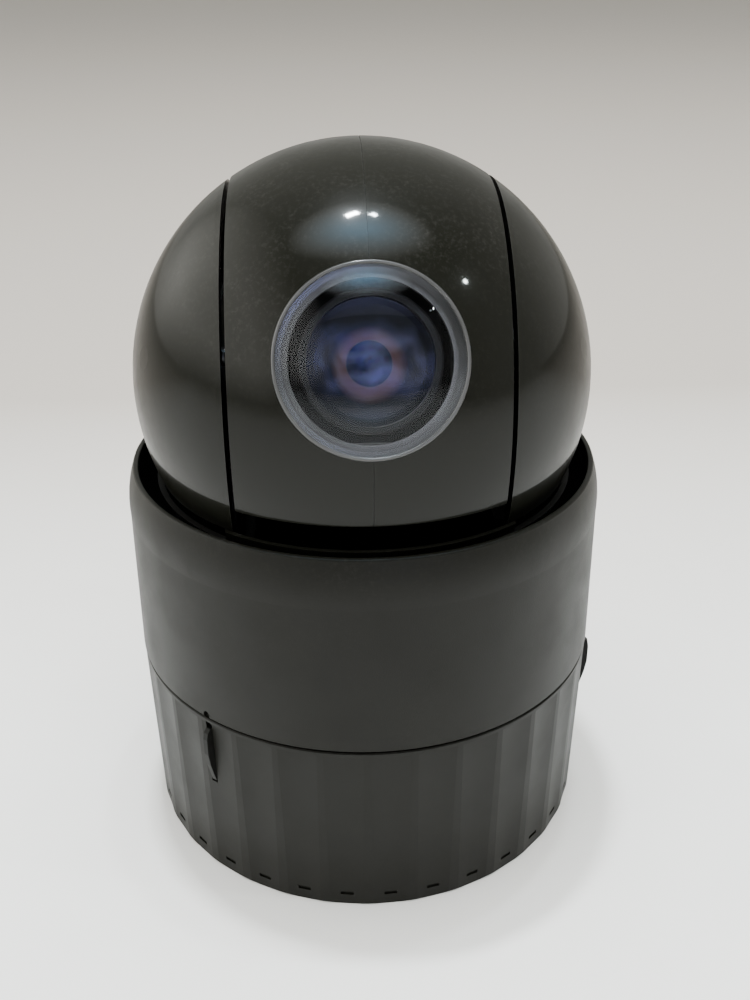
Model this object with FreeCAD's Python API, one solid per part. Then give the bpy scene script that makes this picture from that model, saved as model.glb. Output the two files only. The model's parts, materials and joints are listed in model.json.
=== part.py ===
"""A pan-tilt-zoom dome camera drive, standing on its base with the camera ball on top.

Millimetres. +Z is up, the front (the side the lens faces) is -Y and +X is to the right
of someone who looks at the front. The origin is the centre of the base's underside.
Azimuths run from the front towards +X. The camera head is modelled level, looking along
-Y about the ball's centre, and head_up() then lifts it to its rest tilt.
"""
import FreeCAD
import Part
import math
import os

V = FreeCAD.Vector
UP = V(0, 0, 1)
ALONG_X = V(1, 0, 0)

# Driving dimensions: the outside
BALL_R = 62.0
BALL_Z = 132.5
REST_TILT = 22.8
RIM_Z = 110.0
LIP_R = 63.2
SHOULDER_R, SHOULDER_Z = 66.5, 97.0
SEAM_R, SEAM_Z = 67.0, 54.2
GROOVE_H, GROOVE_DEPTH = 0.7, 1.1
RING_TOP_R, RING_BOTTOM_R = 66.85, 65.7
FLUTES, FLUTE_PHASE, FLUTE_DEPTH, FLUTE_TOP_DEPTH, FLUTE_R = 34, -2.0, 0.35, 0.45, 60.0
FLUTE_END = 1.2
NOTCH_W, NOTCH_H, NOTCH_Z, NOTCH_DEPTH = 3.6, 1.2, 3.4, 0.45

# Driving dimensions: walls
WALL = 2.4
RING_INNER_R = 63.4
SPIGOT_OUTER_R, SPIGOT_INNER_R, SPIGOT_Z = 64.3, 62.4, 51.9
PLATE_R, PLATE_T = 63.2, 3.0

# Driving dimensions: catches, three round the ring
CATCH_AZIMUTHS = (-41.5, 78.5, 198.5)
CATCH_T, CATCH_LOW, CATCH_HIGH, CATCH_TIP_R = 1.5, 33.0, 51.0, 68.3
CATCH_SLOT_HALF_W, CATCH_SLOT_HIGH = 1.0, 53.2
DOT_R, DOT_Z, DOT_DEPTH = 1.1, 1.5, 1.2
CATCH_FOOT_R, CATCH_FOOT_T, CATCH_FOOT_W = 63.2, 2.0, 6.4
GUIDE_BACK_R, GUIDE_T, GUIDE_LOW, GUIDE_HIGH = 54.0, 1.2, 34.0, 50.0
SPRING_R, SPRING_WIRE_R, SPRING_TURNS, CATCH_TRAVEL = 2.4, 0.4, 2.5, 1.6

# Driving dimensions: pan drive
DECK_Z, DECK_T, DECK_R, DECK_BOSS_R = 52.2, 3.4, 62.2, 25.0
POST_R, POST_AT_R = 4.5, 56.5
POST_AZIMUTHS = (20, 115, 165, 260)
RACE_OUTER_R, RACE_INNER_R, RACE_LOW, RACE_HIGH = 22.0, 12.0, 47.5, 55.5
BALLS, BEARING_BALL_R, BEARING_PITCH_R = 16, 2.1, 17.5
PAN_MODULE, PAN_TEETH, PAN_PINION_TEETH = 0.6, 120, 15
PAN_GEAR_Z, PAN_GEAR_T = 58.5, 3.5
PAN_CENTRES = PAN_MODULE * (PAN_TEETH + PAN_PINION_TEETH) / 2
MOTOR_AZIMUTH, PAN_MOTOR_R, PAN_MOTOR_LOW = 140, 15.0, 30.0
HUB_R, HUB_Z, HUB_T = 33.5, 62.0, 3.5
HUB_TUBE_R, HUB_BORE_R = 12.0, 8.0

# Driving dimensions: the yoke that turns with pan
BOWL_INNER, BOWL_OUTER, BOWL_TOP = 62.6, 64.0, -26.6
SKIRT_INNER, SKIRT_OUTER, SKIRT_TOP, SKIRT_HALF_W = 62.5, 63.6, -23.6, 36.2
BOSS_R = 30.0
CAP_X, CAP_LOW, CAP_INNER, CAP_FLANGE_T, CAP_FLANGE_R = 34.3, -24.0, 60.0, 1.4, 46.0
ARM_X, ARM_T, ARM_FOOT_Z, ARM_FOOT_T, ARM_FOOT_X, ARM_FOOT_Y = 36.4, 2.6, -40.0, 2.4, 45.5, 12.0
EAR_Y, EAR_Z = 24.0, 14.0

# Driving dimensions: the head that turns with tilt
SHELL_HALF_W, SHELL_T = 33.0, 2.0
MOULD_SEAM_HALF_W, MOULD_SEAM_DEPTH = 0.13, 0.35
BAND_EDGE_Z, BAND_REAR_ANGLE = -16.2, 230.0
WINDOW_HOLE_R = 22.6
BEZEL_R, BEZEL_T, BEZEL_PROUD = 22.5, 0.9, 0.45
WINDOW_R, WINDOW_APEX, WINDOW_RIM, WINDOW_T = 21.55, 64.2, 57.5, 1.6
TRUNNION_R, TRUNNION_END = 4.0, 41.0
BUSH_R, RUNNING_GAP = 7.0, 0.05
TILT_MODULE, TILT_TEETH, TILT_PINION_TEETH = 0.5, 72, 18
TILT_GEAR_X, TILT_GEAR_T = 33.4, 2.5
TILT_CENTRES = TILT_MODULE * (TILT_TEETH + TILT_PINION_TEETH) / 2
TILT_MOTOR_R, TILT_MOTOR_LEN = 10.0, 9.0
BLOCK_HALF, BLOCK_FRONT, BLOCK_BACK = 19.0, -28.0, 14.0
BARREL_R, BARREL_BORE_R, BARREL_FRONT = 16.4, 14.7, -56.2
CELL_R, ROD_R, ROD_AT = 14.2, 1.0, 12.0
TAB_OUTER, TAB_T, TAB_HALF_Y = SHELL_HALF_W - SHELL_T, 1.6, 10.0

# Gear tooth proportions, in modules, and the pitch-line backlash as a share of the tooth
ADDENDUM, DEDENDUM, BACKLASH = 0.8, 1.1, 0.10
PRESSURE = math.radians(20)


# Helpers
def save(name, shape):
    shape.exportStep("parts/%s.step" % name)


def block(x0, x1, y0, y1, z0, z1):
    return Part.makeBox(x1 - x0, y1 - y0, z1 - z0, V(x0, y0, z0))


def rod(radius, z0, z1, x=0.0, y=0.0):
    return Part.makeCylinder(radius, z1 - z0, V(x, y, z0))


def tube(outer, inner, z0, z1):
    return rod(outer, z0, z1).cut(rod(inner, z0, z1))


def rod_x(radius, x0, x1, y=0.0, z=0.0):
    return Part.makeCylinder(radius, x1 - x0, V(x0, y, z), ALONG_X)


def rod_y(radius, y0, y1, x=0.0, z=0.0):
    return Part.makeCylinder(radius, y1 - y0, V(x, y0, z), V(0, 1, 0))


def outline(start, *steps):
    """A closed wire in the XZ plane: a step is a point, or a pair (through, end) for an arc."""
    here, edges = V(start[0], 0, start[1]), []
    for step in steps + (start,):
        if isinstance(step[0], tuple):
            through, end = (V(p[0], 0, p[1]) for p in step)
            edges.append(Part.Arc(here, through, end).toShape())
        else:
            end = V(step[0], 0, step[1])
            edges.append(Part.makeLine(here, end))
        here = end
    return Part.Wire(edges)


def turned(start, *steps):
    """A solid turned about Z from a half section given as (radius, height) points."""
    return Part.Face(outline(start, *steps)).revolve(V(0, 0, 0), UP, 360)


def slab(points, x0, x1):
    """A plate across X from x0 to x1 whose outline is given as (y, z) points."""
    corners = [V(x0, y, z) for y, z in points]
    return Part.Face(Part.makePolygon(corners + corners[:1])).extrude(V(x1 - x0, 0, 0))


def at_azimuth(shape, azimuth):
    """Turns a shape made at the front (-Y) round to an azimuth."""
    moved = shape.copy()
    moved.rotate(V(0, 0, 0), UP, azimuth)
    return moved


def around(shape, azimuths):
    return [at_azimuth(shape, a) for a in azimuths]


def flipped_x(shape):
    return shape.mirror(V(0, 0, 0), ALONG_X)


def both_sides(shape):
    return [shape, flipped_x(shape)]


def group(shapes):
    return Part.makeCompound(shapes)


def to_ball(shape):
    """Lifts a shape made about the ball's centre to the ball's height."""
    moved = shape.copy()
    moved.translate(V(0, 0, BALL_Z))
    return moved


def head_up(shape):
    """Tilts a level head piece up to rest, about the ball's centre, and lifts it."""
    moved = shape.copy()
    moved.rotate(V(0, 0, 0), ALONG_X, -REST_TILT)
    return to_ball(moved)


def place(shape, azimuth, radius):
    """Moves a shape made on the Z axis out to a radius at an azimuth."""
    moved = shape.copy()
    moved.translate(V(0, -radius, 0))
    return at_azimuth(moved, azimuth)


def involute(angle):
    return math.tan(angle) - angle


def gear(module, teeth, phase, thickness, bore):
    """An involute spur gear on the XY plane with one tooth centred at the angle phase."""
    pitch_r = module * teeth / 2
    base_r = pitch_r * math.cos(PRESSURE)
    root_r, tip_r = pitch_r - DEDENDUM * module, pitch_r + ADDENDUM * module
    start_r = max(base_r, root_r)
    flank = [start_r + (tip_r - start_r) * step / 3 for step in range(4)]
    half_pitch_tooth = math.pi / 2 / teeth * (1 - BACKLASH)

    def half_tooth(radius):
        return half_pitch_tooth + involute(PRESSURE) - involute(math.acos(base_r / radius))

    side = [(radius, half_tooth(radius)) for radius in flank]
    if root_r < start_r:
        side.insert(0, (root_r, side[0][1]))
    points = []
    for tooth in range(teeth):
        middle = math.radians(phase) + 2 * math.pi * tooth / teeth
        for sign, run in ((-1, side), (1, side[::-1])):
            for radius, half in run:
                angle = middle + sign * half
                points.append(V(radius * math.cos(angle), radius * math.sin(angle), 0))
    rim = Part.Face(Part.makePolygon(points + points[:1]))
    hole = Part.Face(Part.Wire(Part.makeCircle(bore)))
    return rim.cut(hole).extrude(V(0, 0, thickness))


def screw(shaft_r, head_r, length, head):
    """A screw along Z with its head's underside at 0, the head up and the shaft down."""
    body = rod(shaft_r, -length, 0).fuse(rod(head_r, 0, head))
    slot = block(-head_r * 0.7, head_r * 0.7, -0.2, 0.2, head * 0.5, head)
    return body.cut(slot)


# The base, which stands still
def catch_slot():
    return block(-CATCH_SLOT_HALF_W, CATCH_SLOT_HALF_W, -70, -61, CATCH_LOW - 0.8, CATCH_SLOT_HIGH)


def post():
    """One screw post with the rib that ties it to the ring's wall."""
    column = rod(POST_R, PLATE_T, DECK_Z, 0, -POST_AT_R)
    rib = block(-1.5, 1.5, -RING_INNER_R - 0.3, -POST_AT_R, PLATE_T, CATCH_HIGH)
    drill = rod(1.25, 0, DECK_Z, 0, -POST_AT_R)
    return column.fuse(rib).cut(drill)


def base_ring():
    shell = turned(
        (RING_BOTTOM_R - 0.4, 0), (RING_BOTTOM_R, 0.5), (RING_TOP_R, SEAM_Z - 0.3),
        (RING_TOP_R - 0.3, SEAM_Z), (SPIGOT_OUTER_R + 0.1, SEAM_Z), (SPIGOT_OUTER_R + 0.1, SPIGOT_Z - 0.4),
        (RING_INNER_R, SPIGOT_Z - 0.4), (RING_INNER_R, 0))
    flare = RING_TOP_R - RING_BOTTOM_R + FLUTE_DEPTH - FLUTE_TOP_DEPTH
    taper = math.degrees(math.atan(flare / SEAM_Z))
    flute = Part.makeCylinder(FLUTE_R, SEAM_Z + 20, V(0, -RING_BOTTOM_R + FLUTE_DEPTH - FLUTE_R, -10))
    flute.rotate(V(0, -RING_BOTTOM_R, 0), ALONG_X, taper)
    flute = flute.common(block(-20, 20, -90, 0, -1, SEAM_Z - FLUTE_END))
    notch_back = -RING_BOTTOM_R + FLUTE_DEPTH + NOTCH_DEPTH
    notch = block(-NOTCH_W / 2, NOTCH_W / 2, -70, notch_back, NOTCH_Z, NOTCH_Z + NOTCH_H)
    pitch = 360 / FLUTES
    middles = [pitch * (k + 0.5) + FLUTE_PHASE for k in range(FLUTES)]
    shell = shell.cut(around(flute, middles)).cut(around(notch, middles))
    shell = shell.fuse(around(post(), POST_AZIMUTHS))
    return shell.cut(around(catch_slot(), CATCH_AZIMUTHS))


def collar():
    """The smooth upper collar, with the spigot that locates it in the ring."""
    seam_inner = SEAM_R - GROOVE_DEPTH
    low = SEAM_Z + GROOVE_H
    cup = turned(
        (seam_inner, SEAM_Z), (seam_inner, low), (SEAM_R - 0.2, low), (SEAM_R, low + 0.3),
        (SHOULDER_R, SHOULDER_Z),
        ((66.15, 104.2), (64.75, RIM_Z - 0.7)), ((64.4, RIM_Z - 0.12), (64.0, RIM_Z)), (LIP_R + 0.4, RIM_Z),
        ((LIP_R + 0.1, RIM_Z - 0.1), (LIP_R, RIM_Z - 0.4)), (LIP_R, 105.0), (64.2, 103.0),
        (SEAM_R - WALL, 57.0), (SPIGOT_INNER_R, 57.0), (SPIGOT_INNER_R, SPIGOT_Z), (SPIGOT_OUTER_R, SPIGOT_Z),
        (SPIGOT_OUTER_R, SEAM_Z))
    dot = rod_y(DOT_R, -70, -SEAM_R + DOT_DEPTH, 0, SEAM_Z + DOT_Z)
    return cup.cut(around(dot, CATCH_AZIMUTHS))


def dock_connector():
    """The socket strip in the underside that the drive plugs down onto."""
    strip = block(-16, 16, -4, 4, 0.6, 9.0)
    flange = block(-19, 19, -5.5, 5.5, PLATE_T, PLATE_T + 1.2)
    pitch = 2.54
    pins = [
        block(x - 0.5, x + 0.5, y - 0.5, y + 0.5, 0.6, 6.0)
        for x in [pitch * (k - 4.5) for k in range(10)]
        for y in (-pitch / 2, pitch / 2)
    ]
    return strip.fuse(flange).cut(pins)


def plate_screw():
    """A countersunk screw up through the underside into a post."""
    head = Part.makeCone(2.6, 1.25, 1.6, V(0, 0, 0.2))
    cross = block(-1.4, 1.4, -0.3, 0.3, 0.1, 0.8).fuse(block(-0.3, 0.3, -1.4, 1.4, 0.1, 0.8))
    return head.fuse(rod(1.25, 1.8, 12)).cut(cross)


def base_plate():
    disc = rod(PLATE_R, 0, PLATE_T).cut(block(-16.3, 16.3, -4.3, 4.3, -1, PLATE_T + 1))
    sink = Part.makeCone(2.8, 1.25, 1.8, V(0, 0, 0)).fuse(rod(1.25, 1.8, PLATE_T))
    return disc.cut([place(sink, a, POST_AT_R) for a in POST_AZIMUTHS])


BOARD_R, BOARD_Z, BOARD_T, STANDOFF_AT = 50.0, 10.0, 1.6, 44.0


def main_board():
    holes = [place(rod(1.6, 0, 20), a, STANDOFF_AT) for a in (45, 135, 225, 315)]
    return rod(BOARD_R, BOARD_Z, BOARD_Z + BOARD_T).cut(holes)


def board_components():
    """Capacitors, chips, a transformer and the cable headers, all on the main board."""
    top = BOARD_Z + BOARD_T
    cans = [rod(5, top, top + 12, x, y) for x, y in ((-30, -12), (-30, 2), (-19, -16))]
    chips = [
        block(x - w / 2, x + w / 2, y - d / 2, y + d / 2, top, top + 1.6)
        for x, y, w, d in ((0, -22, 14, 14), (18, -24, 8, 10), (28, -6, 10, 6), (-12, 22, 12, 8))
    ]
    transformer = block(16, 34, 8, 22, top, top + 13)
    headers = [block(x - 6, x + 6, -40, -34, top, top + 7) for x in (-10, 8)]
    return group(cans + chips + [transformer] + headers)


def board_standoffs():
    return group([place(rod(3, PLATE_T, BOARD_Z), a, STANDOFF_AT) for a in (45, 135, 225, 315)])


def deck_holes():
    """The deck's screw holes over the posts, the motor's boss hole and its two screw holes."""
    over_posts = [place(rod(1.5, 40, 60), a, POST_AT_R) for a in POST_AZIMUTHS]
    boss = place(rod(6.2, 40, 60), MOTOR_AZIMUTH, PAN_CENTRES)
    ears = [place(rod(1.25, DECK_Z - 1, 60, x), MOTOR_AZIMUTH, PAN_CENTRES) for x in (-12, 12)]
    return over_posts + [boss] + ears


def bearing_deck():
    """The round deck across the ring that carries the pan bearing and the pan motor."""
    boss = rod(DECK_BOSS_R, RACE_LOW - 1.5, DECK_Z)
    seat = rod(RACE_OUTER_R, RACE_LOW, DECK_Z + DECK_T).fuse(rod(19, 40, 60))
    return rod(DECK_R, DECK_Z, DECK_Z + DECK_T).fuse(boss).cut([seat] + deck_holes())


def deck_screws():
    top = DECK_Z + DECK_T
    down = screw(1.25, 2.5, 9, 1.5)
    down.translate(V(0, 0, top))
    into_posts = [place(down, a, POST_AT_R) for a in POST_AZIMUTHS]
    small = screw(1.25, 2.2, DECK_T + 0.9, 1.2)
    small.translate(V(0, 0, top))
    ears = []
    for x in (-12, 12):
        moved = small.copy()
        moved.translate(V(x, 0, 0))
        ears.append(place(moved, MOTOR_AZIMUTH, PAN_CENTRES))
    return group(into_posts + ears)


def race(outer, inner, groove_r):
    groove = Part.makeTorus(BEARING_PITCH_R, groove_r, V(0, 0, (RACE_LOW + RACE_HIGH) / 2))
    return tube(outer, inner, RACE_LOW, RACE_HIGH).cut(groove)


def pan_bearing_balls():
    middle = (RACE_LOW + RACE_HIGH) / 2
    ball = Part.makeSphere(BEARING_BALL_R, V(0, -BEARING_PITCH_R, middle))
    return group(around(ball, [360 / BALLS * k for k in range(BALLS)]))


def slip_ring_stator():
    can = tube(11, 7, 22, RACE_LOW - 1.5).fuse(rod(11, 22, 23.5))
    return can.fuse(tube(24, 10.5, RACE_LOW - 3.5, RACE_LOW - 1.5))


def pan_motor():
    """A round stepper under the deck, its boss up through the deck."""
    can = rod(PAN_MOTOR_R, PAN_MOTOR_LOW, DECK_Z).fuse(rod(6, DECK_Z, 56.4))
    bore = rod(2 + RUNNING_GAP, PAN_MOTOR_LOW + 2, 60)
    ears = [rod(1.25, DECK_Z - 0.9, 60, x) for x in (-12, 12)]
    return place(can.cut([bore] + ears), MOTOR_AZIMUTH, PAN_CENTRES)


def motor_shaft():
    return place(rod(2, PAN_MOTOR_LOW + 3, PAN_GEAR_Z + PAN_GEAR_T + 0.6), MOTOR_AZIMUTH, PAN_CENTRES)


def pan_pinion():
    towards_axis = MOTOR_AZIMUTH - 90 + 180
    phase = towards_axis - 180 / PAN_PINION_TEETH - MOTOR_AZIMUTH
    pinion = gear(PAN_MODULE, PAN_PINION_TEETH, phase, PAN_GEAR_T + 0.4, 2.0)
    pinion.translate(V(0, 0, PAN_GEAR_Z - 0.2))
    return place(pinion, MOTOR_AZIMUTH, PAN_CENTRES)


def catch():
    """One sprung catch: a ramped blade through the ring's slot on a foot behind the wall."""
    half = CATCH_T / 2
    blade = slab(
        [(-62, CATCH_LOW + 2), (-66.2, CATCH_LOW), (-67.7, CATCH_LOW + 6), (-CATCH_TIP_R, CATCH_LOW + 10),
         (-CATCH_TIP_R, CATCH_HIGH - 3), (-67.9, CATCH_HIGH - 1), (-66.9, CATCH_HIGH), (-62, CATCH_HIGH)],
        -half, half)
    foot = block(-CATCH_FOOT_W / 2, CATCH_FOOT_W / 2, -CATCH_FOOT_R, -CATCH_FOOT_R + CATCH_FOOT_T, 32, 51.2)
    return foot.fuse(blade)


def catch_guide():
    """The channel behind a catch that guides its foot and backs its spring."""
    half = CATCH_FOOT_W / 2 + 0.4
    outer = block(-half - GUIDE_T, half + GUIDE_T, -RING_INNER_R + 0.3, -GUIDE_BACK_R, GUIDE_LOW, GUIDE_HIGH)
    inner = block(-half, half, -70, -GUIDE_BACK_R - GUIDE_T, 20, 60)
    foot = block(-half - GUIDE_T, half + GUIDE_T, -56.4, -GUIDE_BACK_R, PLATE_T, GUIDE_LOW)
    return outer.cut(inner).fuse(foot)


def catch_spring():
    """A small coil spring on the guide's back, as long as it is with the catch pushed in."""
    gap = CATCH_FOOT_R - CATCH_FOOT_T - GUIDE_BACK_R - GUIDE_T
    length = gap - CATCH_TRAVEL - 2 * SPRING_WIRE_R - 0.3
    coil = Part.makeHelix(length / SPRING_TURNS, length, SPRING_R)
    start = Part.Wire(Part.makeCircle(SPRING_WIRE_R, V(SPRING_R, 0, 0), V(0, 1, 0)))
    spring = Part.Wire(coil.Edges).makePipeShell([start], True, True)
    spring.rotate(V(0, 0, 0), ALONG_X, 90)
    spring.translate(V(0, -GUIDE_BACK_R - GUIDE_T - SPRING_WIRE_R, 42))
    return spring


# The yoke, which turns with pan
def turntable_hub():
    stem = rod(14.5, RACE_HIGH, HUB_Z).fuse(rod(HUB_TUBE_R, 46.6, RACE_HIGH))
    body = rod(HUB_R, HUB_Z, HUB_Z + HUB_T).fuse(stem)
    bolts = [place(rod(1.5, 50, 70), a, 24) for a in (0, 90, 180, 270)]
    gear_bolts = [place(rod(1.0, 50, 64), a, 32.0) for a in (45, 135, 225, 315)]
    return body.cut([rod(HUB_BORE_R, 40, 70)] + bolts + gear_bolts)


def hub_screws():
    up = screw(1.5, 2.8, 8, 1.6)
    up.rotate(V(0, 0, 0), ALONG_X, 180)
    up.translate(V(0, 0, HUB_Z))
    small = screw(1.0, 1.7, PAN_GEAR_T + 2.0, 1.0)
    small.rotate(V(0, 0, 0), ALONG_X, 180)
    small.translate(V(0, 0, PAN_GEAR_Z))
    quarter = (0, 90, 180, 270)
    return group([place(up, a, 24) for a in quarter] + [place(small, a + 45, 32.0) for a in quarter])


def pan_gear():
    ring = gear(PAN_MODULE, PAN_TEETH, MOTOR_AZIMUTH - 90, PAN_GEAR_T, 29.0)
    ring.translate(V(0, 0, PAN_GEAR_Z))
    return ring.cut([place(rod(1.0, 50, 64), a, 32.0) for a in (45, 135, 225, 315)])


def bearing_clip():
    ring = tube(13.8, HUB_TUBE_R, 46.8, RACE_LOW)
    return ring.cut(block(-2, 2, -15, 0, 46, 48))


def slip_ring_rotor():
    return rod(HUB_BORE_R, 46.4, 60).fuse(rod(6.4, 24, 46.4))


def yoke_bowl():
    """The cup under the ball, with a flat boss on the hub and pads for the arms."""
    boss = to_ball(rod(BOSS_R, HUB_Z + HUB_T - BALL_Z, -40))
    pad = block(ARM_X, 46, -ARM_FOOT_Y, ARM_FOOT_Y, -62, ARM_FOOT_Z)
    pads = [p.common(Part.makeSphere(BOWL_OUTER - 0.5)) for p in both_sides(pad)]
    cup = Part.makeSphere(BOWL_OUTER).common(block(-70, 70, -70, 70, -70, BOWL_TOP))
    solid = to_ball(cup).fuse(boss).cut(to_ball(Part.makeSphere(BOWL_INNER)))
    solid = solid.fuse([to_ball(p) for p in pads])
    bolts = [place(rod(1.5, 60, 70), a, 24) for a in (0, 90, 180, 270)]
    foot_holes = [to_ball(rod(1.25, -44, -30, x, y)) for x in (-42.5, 42.5) for y in (-7, 7)]
    return solid.cut([rod(HUB_BORE_R, 60, 75)] + bolts + foot_holes)


def skirt_strips():
    """The two glossy strips on the bowl's edge, front and rear, that join the side caps."""
    shell = Part.makeSphere(SKIRT_OUTER).cut(Part.makeSphere(SKIRT_INNER))
    width = SKIRT_HALF_W
    return to_ball(shell.common(block(-width, width, -70, 70, BOWL_TOP, SKIRT_TOP)))


def tilt_arm_right():
    """The upright plate beside the ball that carries the tilt bearing and motor."""
    top = 24.0
    plate = slab(
        [(-14, ARM_FOOT_Z), (14, ARM_FOOT_Z), (16, -28), (28, 8), (28, 18), (20, top), (-20, top), (-28, 18),
         (-28, 8), (-16, -28)], ARM_X, ARM_X + ARM_T)
    foot = block(ARM_X, ARM_FOOT_X, -ARM_FOOT_Y, ARM_FOOT_Y, ARM_FOOT_Z, ARM_FOOT_Z + ARM_FOOT_T)
    foot_holes = [rod(1.25, -50, -30, 42.5, y) for y in (-7, 7)]
    ears = [rod_x(1.25, 30, 45, y, EAR_Z) for y in (-EAR_Y, EAR_Y)]
    return to_ball(plate.fuse(foot).cut([rod_x(BUSH_R, 30, 45)] + foot_holes + ears))


def motor_hole():
    return to_ball(rod_x(4.0, 30, 45, 0, -TILT_CENTRES))


def arm_screws():
    down = screw(1.25, 2.2, 6.4, 1.4)
    down.translate(V(0, 0, ARM_FOOT_Z + ARM_FOOT_T))
    screws = []
    for x in (-42.5, 42.5):
        for y in (-7, 7):
            moved = down.copy()
            moved.translate(V(x, y, 0))
            screws.append(to_ball(moved))
    return group(screws)


def tilt_bushes():
    bush = rod_x(BUSH_R, ARM_X - 0.2, ARM_X + ARM_T + 0.2).cut(rod_x(TRUNNION_R + RUNNING_GAP, 30, 45))
    return group([to_ball(b) for b in both_sides(bush)])


def side_cap_right():
    """The fixed cap over one side of the ball, with its inner flange and two screw bosses."""
    outer = Part.makeSphere(BALL_R)
    hollow = Part.makeSphere(CAP_INNER)
    keep = block(CAP_X, 70, -70, 70, CAP_LOW, 70)
    skin = outer.cut(hollow).common(keep)
    flange = outer.common(block(CAP_X, CAP_X + CAP_FLANGE_T, -70, 70, CAP_LOW, 70)).cut(
        rod_x(CAP_FLANGE_R, 30, 45))
    bosses = [rod_x(3, ARM_X + ARM_T, 58, y, EAR_Z).common(outer) for y in (-EAR_Y, EAR_Y)]
    drills = [rod_x(1.25, 30, 46, y, EAR_Z) for y in (-EAR_Y, EAR_Y)]
    return to_ball(skin.fuse([flange] + bosses).cut(drills))


def cap_screws():
    across = screw(1.25, 2.4, 8, 1.3)
    across.rotate(V(0, 0, 0), V(0, 1, 0), -90)
    across.translate(V(ARM_X, 0, EAR_Z))
    screws = []
    for y in (-EAR_Y, EAR_Y):
        moved = across.copy()
        moved.translate(V(0, y, 0))
        screws += both_sides(moved)
    return group([to_ball(s) for s in screws])


def tilt_motor():
    start = ARM_X + ARM_T
    can = rod_x(TILT_MOTOR_R, start, start + TILT_MOTOR_LEN).fuse(rod_x(4.0, ARM_X + 0.2, start))
    can = can.cut(rod_x(1.0 + RUNNING_GAP, 30, start + TILT_MOTOR_LEN - 2))
    can.translate(V(0, 0, -TILT_CENTRES))
    return to_ball(can)


def tilt_pinion():
    """The tilt motor's pinion, cut in one piece with its shaft."""
    pinion = gear(TILT_MODULE, TILT_PINION_TEETH, 180 - 180 / TILT_PINION_TEETH, TILT_GEAR_T - 0.4, 0.5)
    pinion = pinion.fuse(rod(1.0, 0, ARM_X + ARM_T + 5 - TILT_GEAR_X))
    pinion.rotate(V(0, 0, 0), V(0, 1, 0), 90)
    pinion.translate(V(TILT_GEAR_X + 0.2, 0, -TILT_CENTRES))
    return to_ball(pinion)


def driver_board():
    """The tilt motor's driver board on the left arm, with its chips."""
    x = -ARM_X - ARM_T - 3
    board = block(x - 1.6, x, -15, 15, -34, -8)
    chips = [block(x - 3.2, x - 1.6, y - 4, y + 4, z - 4, z + 4) for y, z in ((-6, -26), (6, -16))]
    return to_ball(board.fuse(chips))


def tilt_arm_left(arm):
    """The mirrored plate, with three studs for the driver board."""
    x = -ARM_X - ARM_T
    studs = [to_ball(rod_x(2, x - 3, x, y, z)) for y, z in ((-10, -12), (10, -12), (0, -31))]
    return flipped_x(arm).fuse(studs)


# The head, which turns with tilt
def below_band():
    """The wedge left open under the band, in the rest pose: level in front, sloping behind."""
    rear = math.radians(BAND_REAR_ANGLE)
    slope = -math.cos(rear) / math.sin(rear)
    far = -90.0
    corner = (BAND_EDGE_Z * slope, BAND_EDGE_Z)
    return slab([(far, BAND_EDGE_Z), corner, (far * slope, far), (far, far)], -70, 70)


def shell_half(side):
    """Half of the ball's moving band, left (-1) or right (1) of the mould seam."""
    limits = (0, SHELL_HALF_W) if side > 0 else (-SHELL_HALF_W, 0)
    outer = Part.makeSphere(BALL_R).common(block(limits[0], limits[1], -70, 70, -70, 70))
    inner_w = SHELL_HALF_W - SHELL_T
    hollow = Part.makeSphere(BALL_R - SHELL_T).common(block(-inner_w, inner_w, -70, 70, -70, 70))
    window = rod_y(WINDOW_HOLE_R, -70, -40)
    pivot = rod_x(TRUNNION_R, -40, 40)
    sinks = [
        rod_x(1.0, *sorted((side * 30, side * 40)), y).fuse(rod_x(2.0, *sorted((side * 32.3, side * 40)), y))
        for y in (-8, 8)
    ]
    seam = rod_x(70, -MOULD_SEAM_HALF_W, MOULD_SEAM_HALF_W).cut(rod_x(BALL_R - MOULD_SEAM_DEPTH, -1, 1))
    return to_ball(tilted(outer.cut([hollow, window, pivot, seam] + sinks)).cut(below_band()))


def tilted(shape):
    moved = shape.copy()
    moved.rotate(V(0, 0, 0), ALONG_X, -REST_TILT)
    return moved


def shell_screws():
    across = screw(1.0, 2.0, 3.7, 0.9)
    across.rotate(V(0, 0, 0), V(0, 1, 0), 90)
    across.translate(V(32.3, 0, 0))
    screws = []
    for y in (-8, 8):
        moved = across.copy()
        moved.translate(V(0, y, 0))
        screws += both_sides(moved)
    return group([head_up(s) for s in screws])


def turned_y(start, *steps):
    """A solid turned about the lens axis from (radius, forward) points."""
    shape = turned(start, *steps)
    shape.rotate(V(0, 0, 0), ALONG_X, 90)
    return shape


def window_bezel():
    """The thin bright half-round rim of the window, with the flange behind the ball's skin."""
    front = math.sqrt(BALL_R ** 2 - BEZEL_R ** 2) + BEZEL_PROUD
    inner, crown = BEZEL_R - BEZEL_T, BEZEL_T / 2
    return head_up(turned_y(
        (inner, front - crown), ((inner + crown, front), (BEZEL_R, front - crown)),
        (BEZEL_R, 54.6), (24.4, 54.6), (24.4, 52.8), (18.8, 52.8), (18.8, 54.6), (inner, 54.6)))


def arc_mid(radius, apex, edge_r, edge_z):
    """A point half way out on the arc from the apex on the axis to the edge."""
    centre = apex - radius
    half = edge_r / 2
    return (half, centre + math.sqrt(radius ** 2 - half ** 2))


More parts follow.
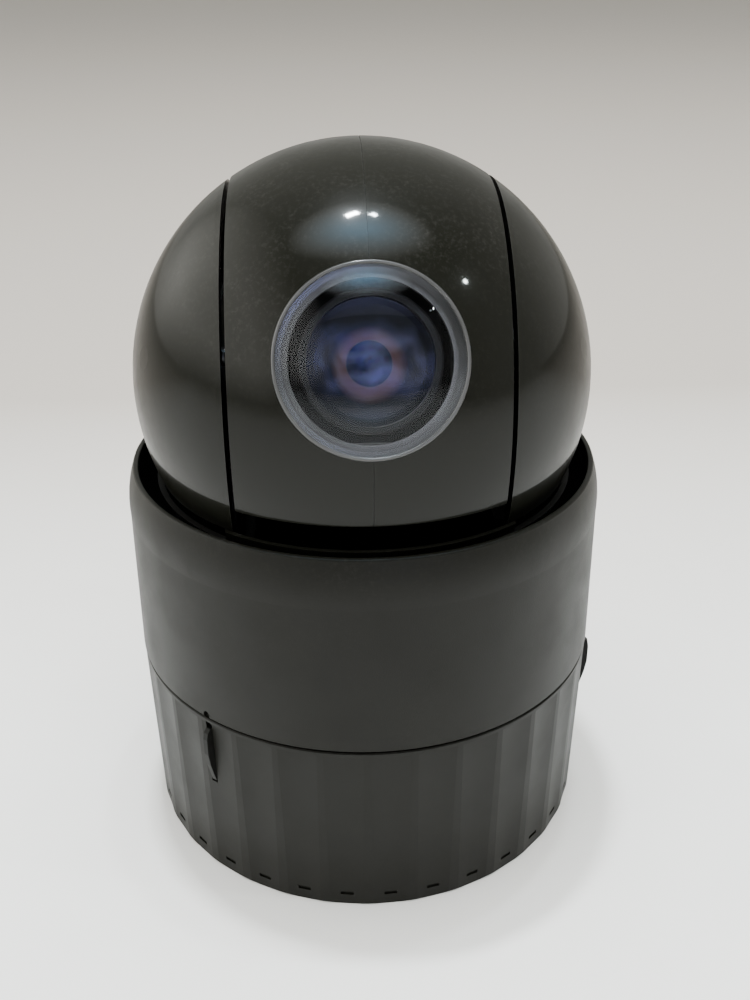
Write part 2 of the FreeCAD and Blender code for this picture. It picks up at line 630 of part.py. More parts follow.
def lens_window():
    """The clear domed cover that stands a little proud of the ball."""
    rise = WINDOW_APEX - WINDOW_RIM
    outer_r = (WINDOW_R ** 2 + rise ** 2) / (2 * rise)
    inner_r = outer_r - WINDOW_T
    inner_edge_r = WINDOW_R - WINDOW_T
    inner_rim = WINDOW_APEX - outer_r + math.sqrt(inner_r ** 2 - inner_edge_r ** 2)
    return head_up(turned_y(
        (0, WINDOW_APEX - WINDOW_T), (arc_mid(inner_r, WINDOW_APEX - WINDOW_T, inner_edge_r, inner_rim),
                                      (inner_edge_r, inner_rim)),
        (inner_edge_r, 54.7), (WINDOW_R, 54.7), (WINDOW_R, WINDOW_RIM),
        (arc_mid(outer_r, WINDOW_APEX, WINDOW_R, WINDOW_RIM), (0, WINDOW_APEX))))


def camera_block():
    body = block(-BLOCK_HALF, BLOCK_HALF, BLOCK_FRONT, BLOCK_BACK, -BLOCK_HALF, BLOCK_HALF)
    body = body.makeFillet(2.0, [e for e in body.Edges if abs(e.tangentAt(e.FirstParameter).y) > 0.9])
    bore = rod_y(BARREL_BORE_R, BLOCK_FRONT, 8)
    well = block(-9, 9, 8, BLOCK_BACK, -8, 8)
    return head_up(body.cut([bore, well]))


def lens_barrel():
    step = turned_y(
        (BARREL_BORE_R, -BARREL_FRONT), (BARREL_R - 0.5, -BARREL_FRONT), (BARREL_R, -BARREL_FRONT - 0.5),
        (BARREL_R, -BLOCK_FRONT), (BARREL_BORE_R, -BLOCK_FRONT))
    return head_up(step)


def element(radius, front, back, edge_front, edge_back):
    """A round glass element from two bulges; distances are forward of the ball's centre."""
    front_rise, back_rise = front - edge_front, edge_back - back
    front_curve = (radius ** 2 + front_rise ** 2) / (2 * front_rise)
    back_curve = (radius ** 2 + back_rise ** 2) / (2 * back_rise)
    back_mid = (radius / 2, back + back_curve - math.sqrt(back_curve ** 2 - radius ** 2 / 4))
    return turned_y(
        (0, back), (back_mid, (radius, edge_back)), (radius, edge_front),
        (arc_mid(front_curve, front, radius, edge_front), (0, front)))


def front_lens():
    return head_up(element(BARREL_BORE_R, 54.8, 49.2, 52.6, 50.4))


def lens_baffle():
    """The stepped tinted ring behind the front element."""
    ring = turned_y(
        (BARREL_BORE_R, 47.6), (BARREL_BORE_R, 44.6), (5.0, 44.6), (5.0, 45.2), (9.0, 46.2), (13.0, 47.6))
    return head_up(ring.cut(rod_holes(40, 46)))


def rod_holes(near, far, gap=0.0):
    """The guide rods as solids, thickened by gap, between two distances from the centre."""
    return group([rod_y(ROD_R + gap, -far, -near, x) for x in (-ROD_AT, ROD_AT)])


def guide_rods():
    return head_up(rod_holes(-8, 46))


def iris_plate():
    plate = rod_y(BARREL_BORE_R, -27, -25.6).cut([rod_y(3.9, -30, -20), rod_holes(20, 30)])
    return head_up(plate)


def cell(front, back, lens_r):
    ring = rod_y(CELL_R, -front, -back).cut([rod_y(lens_r, -60, 20), rod_holes(-10, 46, RUNNING_GAP)])
    return head_up(ring)


def sensor_board():
    board = block(-18, 18, BLOCK_BACK, BLOCK_BACK + 1.6, -18, 18)
    sensor = block(-6, 6, BLOCK_BACK - 2, BLOCK_BACK, -5, 5)
    chip = block(-7, 7, BLOCK_BACK + 1.6, BLOCK_BACK + 3, -7, 7)
    plug = block(-15, -9, BLOCK_BACK + 1.6, BLOCK_BACK + 6, -8, 8)
    return head_up(board.fuse([sensor, chip, plug]))


def camera_bracket():
    """The folded sheet under the camera block that hangs it between the trunnions."""
    low = -BLOCK_HALF - TAB_T
    floor = block(-TAB_OUTER, TAB_OUTER, -TAB_HALF_Y, TAB_HALF_Y, low, -BLOCK_HALF)
    tab = block(TAB_OUTER - TAB_T, TAB_OUTER, -TAB_HALF_Y, TAB_HALF_Y, low, 8)
    body = floor.fuse(both_sides(tab))
    screw_holes = [rod_x(1.0, -40, 40, y) for y in (-8, 8)]
    return head_up(body.cut([rod_x(TRUNNION_R, -40, 40)] + screw_holes))


def trunnion(cable_way):
    pin = rod_x(TRUNNION_R, TAB_OUTER - TAB_T, TRUNNION_END).fuse(rod_x(5.5, 28.0, TAB_OUTER - TAB_T))
    if cable_way:
        pin = pin.cut(rod_x(2.2, 20, 50))
    return pin


def trunnion_clips():
    clip = rod_x(6.0, 39.5, 40.3).cut([rod_x(TRUNNION_R, 30, 45), block(39, 41, -2, 2, -7, 0)])
    return group([head_up(c) for c in both_sides(clip)])


def tilt_gear():
    wheel = gear(TILT_MODULE, TILT_TEETH, 0, TILT_GEAR_T, TRUNNION_R)
    wheel.rotate(V(0, 0, 0), V(0, 1, 0), 90)
    wheel.translate(V(TILT_GEAR_X, 0, 0))
    return to_ball(wheel)


def main():
    os.makedirs("parts", exist_ok=True)
    deck_race = race(RACE_OUTER_R, 19.4, BEARING_BALL_R)
    hub_race = race(15.6, RACE_INNER_R, BEARING_BALL_R + 0.3)
    right_arm = tilt_arm_right()
    right_cap = side_cap_right()
    nodes = {
        "base_ring": base_ring(),
        "base_plate": base_plate(),
        "plate_screws": group([place(plate_screw(), a, POST_AT_R) for a in POST_AZIMUTHS]),
        "collar": collar(),
        "bearing_deck": bearing_deck(),
        "deck_screws": deck_screws(),
        "main_board": main_board(),
        "board_components": board_components(),
        "board_standoffs": board_standoffs(),
        "dock_connector": dock_connector(),
        "slip_ring_stator": slip_ring_stator(),
        "pan_bearing_outer": deck_race,
        "pan_bearing_balls": pan_bearing_balls(),
        "pan_motor": pan_motor(),
        "catch_guides": group(around(catch_guide(), CATCH_AZIMUTHS)),
        "catch_springs": group(around(catch_spring(), CATCH_AZIMUTHS)),
        "pan_pinion": pan_pinion(),
        "pan_motor_shaft": motor_shaft(),
        "turntable_hub": turntable_hub(),
        "hub_screws": hub_screws(),
        "pan_gear": pan_gear(),
        "pan_bearing_inner": hub_race,
        "bearing_clip": bearing_clip(),
        "slip_ring_rotor": slip_ring_rotor(),
        "yoke_bowl": yoke_bowl(),
        "skirt_strips": skirt_strips(),
        "tilt_arm_right": right_arm.cut(motor_hole()),
        "tilt_arm_left": tilt_arm_left(right_arm),
        "arm_screws": arm_screws(),
        "tilt_bushes": tilt_bushes(),
        "side_cap_right": right_cap,
        "side_cap_left": flipped_x(right_cap),
        "cap_screws": cap_screws(),
        "tilt_motor": tilt_motor(),
        "driver_board": driver_board(),
        "tilt_pinion": tilt_pinion(),
        "tilt_shell_left": shell_half(-1),
        "tilt_shell_right": shell_half(1),
        "shell_screws": shell_screws(),
        "window_bezel": window_bezel(),
        "lens_window": lens_window(),
        "camera_block": camera_block(),
        "lens_barrel": lens_barrel(),
        "front_lens": front_lens(),
        "lens_baffle": lens_baffle(),
        "guide_rods": guide_rods(),
        "iris_plate": iris_plate(),
        "sensor_board": sensor_board(),
        "camera_bracket": camera_bracket(),
        "trunnion_right": head_up(trunnion(False)),
        "trunnion_left": head_up(flipped_x(trunnion(True))),
        "trunnion_clips": trunnion_clips(),
        "tilt_gear": tilt_gear(),
        "zoom_cell": cell(41, 35, 8.0),
        "zoom_lens": head_up(element(8.0, 40.6, 35.4, 39.2, 36.8)),
        "focus_cell": cell(16, 11, 6.0),
        "focus_lens": head_up(element(6.0, 15.6, 11.4, 14.4, 12.6)),
    }
    for number, azimuth in enumerate(CATCH_AZIMUTHS, 1):
        nodes["catch_%d" % number] = at_azimuth(catch(), azimuth)
    for name, shape in nodes.items():
        save(name, shape)
        print(name, shape.isValid(), len(shape.Solids), round(shape.Volume, 1))


main()
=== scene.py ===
"""Looks for the pan-tilt-zoom dome camera drive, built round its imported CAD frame.

Metres, in the frame's own axes: +Z up along the pan axis, the lens faces -Y at rest.
"""
import json
import math

import bpy
from mathutils import Matrix, Vector


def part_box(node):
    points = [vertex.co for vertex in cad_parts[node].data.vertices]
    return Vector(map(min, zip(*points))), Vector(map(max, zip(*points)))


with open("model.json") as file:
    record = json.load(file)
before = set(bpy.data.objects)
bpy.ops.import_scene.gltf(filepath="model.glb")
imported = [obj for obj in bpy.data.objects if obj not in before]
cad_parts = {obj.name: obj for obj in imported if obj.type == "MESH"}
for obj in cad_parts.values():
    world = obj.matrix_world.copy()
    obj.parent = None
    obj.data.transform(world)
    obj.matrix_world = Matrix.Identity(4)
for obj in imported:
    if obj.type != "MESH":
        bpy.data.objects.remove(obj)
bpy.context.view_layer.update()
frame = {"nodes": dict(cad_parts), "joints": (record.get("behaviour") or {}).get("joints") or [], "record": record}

NODES = frame["nodes"]
MM = 0.001


def middle(node):
    low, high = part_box(node)
    return (low + high) / 2


# Places worked out from the frame
BALL = Vector((0, 0, middle("tilt_gear").z))
WINDOW_MIDDLE = middle("window_bezel")
FOCUS_SLIDE = next(j for j in frame["joints"] if j["name"] == "focus_travel")
LENS_WAY = -Vector(FOCUS_SLIDE["axis"]).normalized()

# The ball's polish: how far from its middle the walls turn from matt to polished, and the finish of each; the matt
# walls inside are also painted near black, as painted shade in the gaps between the ball's parts
POLISH_UNSHADED_FROM, POLISH_UNSHADED_FULL = 61.3 * MM, 61.7 * MM
POLISH_ROUGHNESS, POLISH_IOR = 0.06, 1.45
PAINTED_SHADE_INSIDE = (0.003, 0.003, 0.003)

# The coatings on the cover and the lenses quieten their reflections, which these low indices stand for
COVER_IOR, LENS_IOR = 1.2, 1.38

# How far from the lens axis the ring behind the front lens turns from brown to black
BROWN_UNTIL, BLACK_FROM = 6.5 * MM, 8.5 * MM


# Shader building blocks, and the vector sums that give a single number
VALUE_RESULTS = ("DISTANCE", "DOT_PRODUCT", "LENGTH")


class Tree:
    """Short calls for placing and joining the nodes of one material or node group."""

    def __init__(self, tree):
        self.tree = tree

    def put(self, kind, **values):
        node = self.tree.nodes.new(kind)
        for name, value in values.items():
            setattr(node, name, value)
        return node

    def join(self, source, target):
        self.tree.links.new(source, target)

    def feed(self, socket, value):
        """Sets a socket, or links it when the value is another node's output."""
        if isinstance(value, bpy.types.NodeSocket):
            self.join(value, socket)
        elif value is not None:
            socket.default_value = value

    def math(self, operation, first, second=None, clamp=False):
        node = self.put("ShaderNodeMath", operation=operation, use_clamp=clamp)
        self.feed(node.inputs[0], first)
        self.feed(node.inputs[1], second)
        return node.outputs[0]

    def vector(self, operation, first, second=None):
        node = self.put("ShaderNodeVectorMath", operation=operation)
        self.feed(node.inputs[0], first)
        self.feed(node.inputs[1], second)
        return node.outputs["Value" if operation in VALUE_RESULTS else "Vector"]

    def along(self, vector):
        """A vector's X, Y and Z, by name."""
        node = self.put("ShaderNodeSeparateXYZ")
        self.join(vector, node.inputs[0])
        return node.outputs

    def place(self):
        return self.put("ShaderNodeTexCoord").outputs["Object"]

    def ray(self, kind):
        """One for rays of a kind, such as Is Glossy Ray, and nought for the rest."""
        return self.put("ShaderNodeLightPath").outputs[kind]

    def noise(self, vector, scale, detail=2.0, rough=0.5):
        node = self.put("ShaderNodeTexNoise")
        self.feed(node.inputs["Vector"], vector)
        self.feed(node.inputs["Scale"], scale)
        self.feed(node.inputs["Detail"], detail)
        self.feed(node.inputs["Roughness"], rough)
        return node.outputs["Fac"]

    def spread(self, value, low, high, to_low=0.0, to_high=1.0):
        node = self.put("ShaderNodeMapRange")
        self.feed(node.inputs["Value"], value)
        for name, number in (("From Min", low), ("From Max", high), ("To Min", to_low), ("To Max", to_high)):
            self.feed(node.inputs[name], number)
        return node.outputs["Result"]

    def blend(self, share, first, second):
        node = self.put("ShaderNodeMix", data_type="RGBA")
        self.feed(node.inputs["Factor"], share)
        self.feed(node.inputs["A"], first)
        self.feed(node.inputs["B"], second)
        return node.outputs["Result"]

    def bump(self, height, strength, distance, normal=None):
        node = self.put("ShaderNodeBump")
        self.feed(node.inputs["Height"], height)
        self.feed(node.inputs["Strength"], strength)
        self.feed(node.inputs["Distance"], distance)
        self.feed(node.inputs["Normal"], normal)
        return node.outputs["Normal"]


def rgba(colour):
    return (*colour, 1.0)


def new_group(name, inputs, outputs):
    """A node group with named sockets, and a Tree to fill it."""
    group = bpy.data.node_groups.new(name, "ShaderNodeTree")
    for label, kind, value in inputs:
        socket = group.interface.new_socket(label, in_out="INPUT", socket_type=kind)
        if value is not None:
            socket.default_value = value
    for label, kind in outputs:
        group.interface.new_socket(label, in_out="OUTPUT", socket_type=kind)
    tree = Tree(group)
    return group, tree, tree.put("NodeGroupInput"), tree.put("NodeGroupOutput")


FLOAT, COLOUR, NORMAL = "NodeSocketFloat", "NodeSocketColor", "NodeSocketVector"


def moulded_group():
    """Injection-moulded plastic: colour mottle, a spark-eroded grain and handling haze."""
    group, t, given, out = new_group(
        "moulded", [("Colour", COLOUR, None), ("Mottle", FLOAT, 0.1), ("Grain Scale", FLOAT, 2500.0),
                    ("Grain Depth", FLOAT, 0.1), ("Roughness", FLOAT, 0.5), ("Haze", FLOAT, 0.1)],
        [("Colour", COLOUR), ("Roughness", FLOAT), ("Normal", NORMAL)])
    place = t.place()
    cloud = t.noise(place, 28.0, 3.0)
    shade = t.math("MULTIPLY_ADD", t.math("SUBTRACT", cloud, 0.5), given.outputs["Mottle"])
    shade.node.inputs[2].default_value = 1.0
    tinted = t.put("ShaderNodeVectorMath", operation="SCALE")
    t.join(given.outputs["Colour"], tinted.inputs[0])
    t.join(shade, tinted.inputs["Scale"])
    t.join(tinted.outputs[0], out.inputs["Colour"])
    smear = t.spread(t.noise(place, 60.0, 4.0, 0.6), 0.42, 0.72)
    hazed = t.math("MULTIPLY", smear, given.outputs["Haze"])
    t.join(t.math("ADD", given.outputs["Roughness"], hazed, clamp=True), out.inputs["Roughness"])
    grain = t.noise(place, given.outputs["Grain Scale"], 1.5, 0.6)
    t.join(t.bump(grain, given.outputs["Grain Depth"], 0.0001), out.inputs["Normal"])
    return group


def dust_group():
    """Settled dust: thick on faces that look up, in uneven specks."""
    group, t, given, out = new_group(
        "dust", [("Colour", COLOUR, None), ("Amount", FLOAT, 0.1)], [("Colour", COLOUR), ("Mask", FLOAT)])
    place = t.place()
    normal = t.put("ShaderNodeNewGeometry").outputs["Normal"]
    upward = t.spread(t.along(normal)["Z"], -0.1, 0.9)
    specks = t.spread(t.noise(place, 900.0, 4.0, 0.75), 0.5, 0.75)
    cloud = t.spread(t.noise(place, 45.0, 3.0), 0.3, 0.8)
    patches = t.math("MULTIPLY", specks, cloud)
    mask = t.math("MULTIPLY", patches, t.math("MULTIPLY", upward, given.outputs["Amount"]))
    t.join(mask, out.inputs["Mask"])
    t.join(t.blend(mask, given.outputs["Colour"], rgba((0.45, 0.43, 0.4))), out.inputs["Colour"])
    return group


def wear_group():
    """Rubbed edges, found where a rounded normal leaves the true one."""
    group, t, given, out = new_group(
        "edge_wear", [("Colour", COLOUR, None), ("Worn", COLOUR, None), ("Width", FLOAT, 0.0004),
                      ("Amount", FLOAT, 0.5)], [("Colour", COLOUR), ("Mask", FLOAT)])
    bevel = t.put("ShaderNodeBevel", samples=4)
    t.join(given.outputs["Width"], bevel.inputs["Radius"])
    true = t.put("ShaderNodeNewGeometry").outputs["Normal"]
    edge = t.spread(t.vector("DOT_PRODUCT", bevel.outputs["Normal"], true), 0.985, 0.85)
    place = t.place()
    broken = t.spread(t.noise(place, 420.0, 4.0, 0.65), 0.35, 0.65)
    mask = t.math("MULTIPLY", t.math("MULTIPLY", edge, broken), given.outputs["Amount"])
    t.join(mask, out.inputs["Mask"])
    t.join(t.blend(mask, given.outputs["Colour"], given.outputs["Worn"]), out.inputs["Colour"])
    return group


GROUPS = {"moulded": moulded_group(), "dust": dust_group(), "wear": wear_group()}


def new_material(name):
    material = bpy.data.materials.new(name)
    material.use_nodes = True
    tree = Tree(material.node_tree)
    return material, tree, material.node_tree.nodes["Principled BSDF"]


def use_group(tree, key, **values):
    node = tree.put("ShaderNodeGroup")
    node.node_tree = GROUPS[key]
    for name, value in values.items():
        tree.feed(node.inputs[name.replace("_", " ")], value)
    return node.outputs


def polished_unshaded_skin(t):
    """One on the ball's polished outer skin, nought on the walls moulded inside it, which are matt and carry
    painted shade.
    """
    return t.spread(t.vector("DISTANCE", t.place(), BALL), POLISH_UNSHADED_FROM, POLISH_UNSHADED_FULL)


def plastic(name, colour, rough, grain, scale, mottle=0.12, haze=0.08, dust=0.0, coat=0.0, specular=0.5):
    """A moulded plastic, with its grain, haze, dust and rubbed edges; a coat is its polish, and with a coat the
    walls inside the ball get a darker painted shade.
    """
    material, t, shader = new_material(name)
    body = use_group(t, "moulded", Colour=rgba(colour), Mottle=mottle, Grain_Scale=scale, Grain_Depth=grain,
                     Roughness=rough, Haze=haze)
    lighter = rgba([min(1.0, c * 2.2 + 0.02) for c in colour])
    worn = use_group(t, "wear", Colour=body["Colour"], Worn=lighter, Width=0.35 * MM, Amount=0.5)
    dusty = use_group(t, "dust", Colour=worn["Colour"], Amount=dust)
    finish = dusty["Colour"]
    rough_dust = t.math("MULTIPLY_ADD", dusty["Mask"], 0.5)
    t.join(body["Roughness"], rough_dust.node.inputs[2])
    if coat:
        skin = polished_unshaded_skin(t)
        # Painted shade: the walls inside the ball are coloured darker than its outer skin, standing in for the
        # shade in the gaps between its parts
        finish = t.blend(skin, rgba(PAINTED_SHADE_INSIDE), finish)
        t.join(t.math("MULTIPLY", skin, coat), shader.inputs["Coat Weight"])
    t.join(finish, shader.inputs["Base Color"])
    t.join(rough_dust, shader.inputs["Roughness"])
    t.join(body["Normal"], shader.inputs["Normal"])
    shader.inputs["Specular IOR Level"].default_value = specular
    shader.inputs["Coat Roughness"].default_value = POLISH_ROUGHNESS
    shader.inputs["Coat IOR"].default_value = POLISH_IOR
    return material


def metal(name, colour, rough, stretch=(1, 1, 1), scale=300.0, depth=0.15):
    """A metal whose fine marks run along the axis that stretch keeps short."""
    material, t, shader = new_material(name)
    place = t.put("ShaderNodeMapping")
    t.join(t.place(), place.inputs["Vector"])
    place.inputs["Scale"].default_value = stretch
    marks = t.noise(place.outputs["Vector"], scale, 4.0, 0.6)
    dark = rgba([c * 0.75 for c in colour])
    t.join(t.blend(marks, dark, rgba(colour)), shader.inputs["Base Color"])
    t.join(t.spread(marks, 0.3, 0.7, rough * 0.8, rough * 1.25), shader.inputs["Roughness"])
    t.join(t.bump(marks, depth, 0.00005), shader.inputs["Normal"])
    shader.inputs["Metallic"].default_value = 1.0
    return material


def clear_glass(name, colour, rough, ior):
    """Clear moulded glass or acrylic, lightly smeared; rough is how finely it is polished."""
    material, t, shader = new_material(name)
    place = t.place()
    smear = t.spread(t.noise(place, 70.0, 4.0, 0.6), 0.5, 0.85, rough, rough + 0.03)
    t.join(smear, shader.inputs["Roughness"])
    shader.inputs["Base Color"].default_value = rgba(colour)
    shader.inputs["Transmission Weight"].default_value = 1.0
    shader.inputs["IOR"].default_value = ior
    return material, t, shader


def let_lamps_through(t, shader, colour):
    """Lets shadow rays pass through glass, tinted by colour."""
    out = t.tree.nodes["Material Output"]
    through = t.put("ShaderNodeBsdfTransparent")
    through.inputs["Color"].default_value = rgba(colour)
    mix = t.put("ShaderNodeMixShader")
    t.join(t.ray("Is Shadow Ray"), mix.inputs[0])
    t.join(shader.outputs["BSDF"], mix.inputs[1])
    t.join(through.outputs["BSDF"], mix.inputs[2])
    t.join(mix.outputs[0], out.inputs["Surface"])


def window_cover():
    """The clear domed cover, with a faint blue bloom."""
    material, t, shader = clear_glass("window_clear", (0.97, 0.98, 0.98), 0.0, COVER_IOR)
    shader.inputs["Specular Tint"].default_value = rgba((0.9, 0.93, 1.0))
    let_lamps_through(t, shader, (0.9, 0.91, 0.92))
    return material


def coated_lens(name):
    """Optical glass whose coating turns its reflections blue to violet."""
    material, t, shader = clear_glass(name, (0.82, 0.85, 0.95), 0.0, LENS_IOR)
    shader.inputs["Specular Tint"].default_value = rgba((0.5, 0.52, 1.0))
    let_lamps_through(t, shader, (0.6, 0.62, 0.75))
    return material


def baffle_ring():
    """The stepped ring behind the front lens: warm brown by the pupil, black further out."""
    material, t, shader = new_material("baffle_ring")
    offset = t.vector("SUBTRACT", t.place(), WINDOW_MIDDLE)
    from_axis = t.vector("LENGTH", t.vector("CROSS_PRODUCT", offset, LENS_WAY))
    fade = t.spread(from_axis, BROWN_UNTIL, BLACK_FROM)
    brown, black = rgba((0.12, 0.06, 0.048)), rgba((0.003, 0.003, 0.004))
    t.join(t.blend(fade, brown, black), shader.inputs["Base Color"])
    t.join(t.spread(t.noise(offset, 120.0), 0.3, 0.7, 0.42, 0.48), shader.inputs["Roughness"])
    shader.inputs["Specular IOR Level"].default_value = 0.25
    return material


def circuit_board():
    """Green solder mask with tracks under it."""
    material, t, shader = new_material("solder_mask")
    place = t.place()
    bricks = t.put("ShaderNodeTexBrick", offset=0.37, squash=0.6, squash_frequency=3)
    t.join(place, bricks.inputs["Vector"])
    bricks.inputs["Scale"].default_value = 260.0
    bricks.inputs["Mortar Size"].default_value = 0.06
    tracks = bricks.outputs["Fac"]
    t.join(t.blend(tracks, rgba((0.012, 0.1, 0.045)), rgba((0.03, 0.2, 0.09))), shader.inputs["Base Color"])
    t.join(t.spread(t.noise(place, 300.0, 2.0), 0.3, 0.7, 0.25, 0.4), shader.inputs["Roughness"])
    t.join(t.bump(tracks, 0.2, 0.0001), shader.inputs["Normal"])
    return material


MATERIALS = {
    "satin_black_plastic": plastic("satin_black", (0.0055, 0.0055, 0.0038), 0.44, 0.35, 3200.0, dust=0.07,
                                   specular=0.16),
    "gloss_black_plastic": plastic("gloss_black", (0.0075, 0.0077, 0.0058), 0.3, 0.02, 1200.0, 0.08, 0.12,
                                   0.06, coat=0.33, specular=0.02),
    "inner_black_plastic": plastic("inner_black", (0.004, 0.004, 0.0036), 0.6, 0.3, 2600.0, specular=0.2),
    "catch_black": plastic("catch_black", (0.004, 0.004, 0.0032), 0.5, 0.1, 2600.0, specular=0.16),
    "lens_black": plastic("lens_black", (0.003, 0.003, 0.0035), 0.45, 0.15, 4000.0, specular=0.2),
    "baffle_brown": baffle_ring(),
    "bright_rim": plastic("bright_rim", (0.06, 0.06, 0.06), 0.12, 0.02, 1500.0),
    "gear_white": plastic("gear_acetal", (0.75, 0.73, 0.66), 0.4, 0.1, 2000.0, dust=0.2),
    "chip_black": plastic("chip_black", (0.02, 0.02, 0.022), 0.55, 0.3, 3000.0),
    "cast_alloy": metal("cast_alloy", (0.62, 0.63, 0.65), 0.45, scale=1200.0, depth=0.4),
    "sheet_steel": metal("sheet_steel", (0.2, 0.2, 0.195), 0.5, (1, 1, 0.05)),
    "bearing_steel": metal("bearing_steel", (0.72, 0.72, 0.73), 0.15),
    "screw_steel": metal("screw_steel", (0.36, 0.36, 0.37), 0.35),
    "brass": metal("turned_brass", (0.78, 0.6, 0.3), 0.25, (1, 1, 0.1)),
    "motor_can": metal("motor_can", (0.5, 0.51, 0.53), 0.3, (1, 1, 0.05)),
    "board_green": circuit_board(),
    "clear_cover": window_cover(),
    "coated_glass": coated_lens("coated_lens"),
}

for part in frame["record"]["subparts"]:
    mesh = NODES[part["node"]].data
    mesh.materials.clear()
    mesh.materials.append(MATERIALS[part["material_slot"]])


# The stage: the floor's size and tones, and how far back it has darkened
FLOOR_SIZE, DARK_FROM = 40.0, 0.32
FLOOR_LOW, FLOOR_HIGH, FLOOR_FAR = (0.88, 0.88, 0.86), (0.92, 0.92, 0.9), (0.45, 0.415, 0.375)

# The room: its walls by side, and what is seen past the floor's edge
WALL_COLOUR, BACK_WALL, LEFT_WALL, RIGHT_WALL, ELSEWHERE = (0.94, 0.93, 0.87), 0.72, 3.4, 0.62, 0.05
BACKDROP, BACKDROP_STRENGTH = (0.95, 0.94, 0.92), 0.62

# Light that only glossy surfaces show: a patch on the ceiling, and broken patches ahead
GLOW_HALF_ACROSS, GLOW_HALF_ALONG = 0.42, 0.25
GLOW_COLOUR, GLOW_STRENGTH = (0.45, 0.75, 1.0), 13.0
CLUTTER_SCALE, CLUTTER_COLOUR, CLUTTER_STRENGTH = 3.0, (0.55, 0.6, 1.0), 4.0

# The lamps' colours, and how far the ones seen in gloss stand off
WARM, COOL = (1.0, 0.995, 0.97), (0.9, 0.95, 1.0)
GLINT_DISTANCE = 1.1

# The camera: its lens, place, and turns in degrees
FOCAL_LENGTH, SENSOR_WIDTH = 39.6, 36.0
CAMERA_PLACE = (-3.94 * MM, -286.42 * MM, 239.58 * MM)
WALK_ROUND, PITCH, YAW, ROLL = -1.4, -27.15, -1.44, -0.35


def floor():
    """A pale floor that runs on as the backdrop and darkens away behind the object."""
    bpy.ops.mesh.primitive_plane_add(size=FLOOR_SIZE, location=(0, 0, 0))
    plane = bpy.context.object
    plane.name = "floor"
    material, t, shader = new_material("pale_floor")
    place = t.place()
    away = t.spread(t.along(place)["Y"], 0.0, DARK_FROM)
    near = t.blend(t.noise(place, 40.0, 3.0), rgba(FLOOR_LOW), rgba(FLOOR_HIGH))
    t.join(t.blend(away, near, rgba(FLOOR_FAR)), shader.inputs["Base Color"])
    t.join(t.bump(t.noise(place, 1500.0, 2.0), 0.1, 0.0001), shader.inputs["Normal"])
    shader.inputs["Roughness"].default_value = 0.8
    plane.data.materials.append(material)


def lamp(name, way, distance, size, power, colour=(1.0, 1.0, 1.0), mirrored=True):
    """A soft lamp aimed at the ball, size being (across, along); gloss shows only mirrored ones."""
    data = bpy.data.lights.new(name, "AREA")
    data.shape, data.size, data.size_y = "RECTANGLE", *size
    data.energy, data.color = power, colour
    thing = bpy.data.objects.new(name, data)
    toward = Vector(way).normalized()
    thing.location = BALL + toward * distance
    thing.rotation_euler = toward.to_track_quat("Z", "Y").to_euler()
    thing.visible_glossy = thing.visible_transmission = mirrored
    bpy.context.scene.collection.objects.link(thing)


def lamps():
    lamp("ceiling_lamp", (-0.05, 0.11, 0.99), GLINT_DISTANCE, (0.085, 0.035), 14.0, (0.92, 0.97, 1.0))
    lamp("ceiling_spot", (0.09, 0.1, 0.985), GLINT_DISTANCE, (0.035, 0.03), 2.7, (0.85, 0.95, 1.0))
    lamp("side_spot", (0.68, -0.22, 0.7), GLINT_DISTANCE, (0.03, 0.03), 1.4, (0.9, 1.0, 0.98))
    lamp("overhead_soft", (0.12, -0.05, 1.0), 2.4, (2.4, 2.4), 106.0, WARM, mirrored=False)
    lamp("front_soft", (0.1, -1.0, 1.2), 2.0, (1.4, 1.4), 4.0, WARM, mirrored=False)
    lamp("left_soft", (-1.0, -0.5, 0.55), 1.5, (0.8, 0.8), 3.0, COOL, mirrored=False)


def ceiling_glow(t, view):
    """A soft wide patch of cool light on the ceiling, as a share of its full strength."""
    scaled = t.vector("MULTIPLY", view, (1 / GLOW_HALF_ACROSS, 1 / GLOW_HALF_ALONG, 0.0))
    soft = t.spread(t.vector("LENGTH", scaled), 1.15, 0.2)
    overhead = t.math("MULTIPLY", soft, t.math("GREATER_THAN", t.along(view)["Z"], 0.0))
    return t.math("MULTIPLY", overhead, t.ray("Is Glossy Ray"))


def far_clutter(t, view):
    """Soft broken patches of the lit room ahead, which the window shows at rest."""
    way = t.along(view)
    ahead = t.spread(way["Y"], -0.6, -0.78)
    raised = t.spread(way["Z"], 0.02, 0.2)
    patches = t.spread(t.noise(view, CLUTTER_SCALE, 2.0), 0.42, 0.74)
    seen = t.math("MULTIPLY", t.math("MULTIPLY", ahead, raised), patches)
    return t.math("MULTIPLY", seen, t.ray("Is Glossy Ray"))


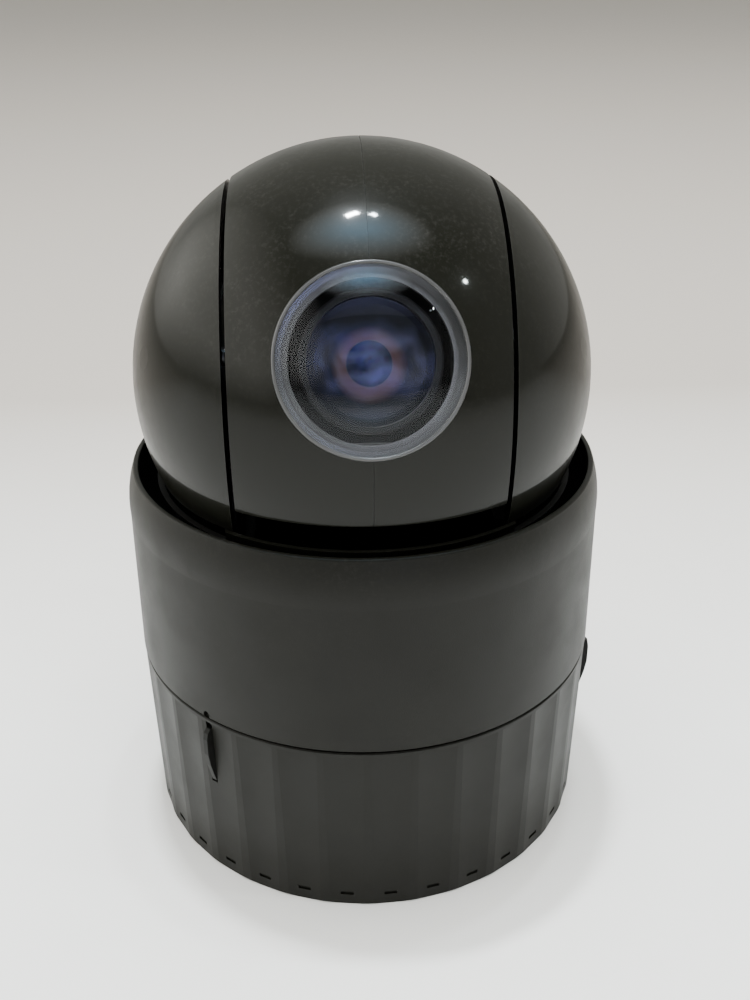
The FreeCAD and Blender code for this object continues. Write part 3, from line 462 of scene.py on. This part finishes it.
def room(t, view):
    """The light of a plain room by direction: bright upper left, dim in front."""
    way = t.along(view)
    back = t.spread(way["Y"], 0.0, 0.55, 0.0, BACK_WALL)
    left = t.spread(way["X"], -0.5, -0.8, 0.0, LEFT_WALL)
    raised = t.spread(way["Z"], -0.05, 0.25)
    right = t.spread(way["X"], 0.6, 0.95, 0.0, RIGHT_WALL)
    sides = t.math("ADD", t.math("MULTIPLY", left, raised), right)
    return t.math("ADD", t.math("ADD", back, sides), ELSEWHERE)


def studio():
    """The room's light, with an even backdrop wherever the camera sees past the floor."""
    world = bpy.data.worlds.new("studio")
    world.use_nodes = True
    t = Tree(world.node_tree)
    sky = world.node_tree.nodes["Background"]
    view = t.put("ShaderNodeTexCoord").outputs["Generated"]
    glow = ceiling_glow(t, view)
    ceiling = t.blend(glow, rgba(WALL_COLOUR), rgba(GLOW_COLOUR))
    clutter = far_clutter(t, view)
    overhead = t.math("MULTIPLY", glow, GLOW_STRENGTH)
    ahead = t.math("MULTIPLY", clutter, CLUTTER_STRENGTH)
    strength = t.math("ADD", room(t, view), t.math("ADD", overhead, ahead))
    lit = t.blend(clutter, ceiling, rgba(CLUTTER_COLOUR))
    direct = t.ray("Is Camera Ray")
    t.join(t.blend(direct, lit, rgba(BACKDROP)), sky.inputs["Color"])
    even = t.math("MULTIPLY", direct, BACKDROP_STRENGTH)
    unseen = t.math("MULTIPLY", t.math("SUBTRACT", 1.0, direct), strength)
    t.join(t.math("ADD", even, unseen), sky.inputs["Strength"])
    bpy.context.scene.world = world


def camera():
    data = bpy.data.cameras.new("camera")
    data.lens, data.sensor_width = FOCAL_LENGTH, SENSOR_WIDTH
    thing = bpy.data.objects.new("camera", data)
    walk_round, pitch, yaw, roll = (math.radians(angle) for angle in (WALK_ROUND, PITCH, YAW, ROLL))
    stand = Matrix.Translation(CAMERA_PLACE)
    aim = Matrix.Rotation(yaw, 4, "Z") @ Matrix.Rotation(math.pi / 2 + pitch, 4, "X")
    thing.matrix_world = Matrix.Rotation(walk_round, 4, "Z") @ stand @ aim @ Matrix.Rotation(roll, 4, "Z")
    bpy.context.scene.collection.objects.link(thing)
    bpy.context.scene.camera = thing


floor()
lamps()
studio()
camera()
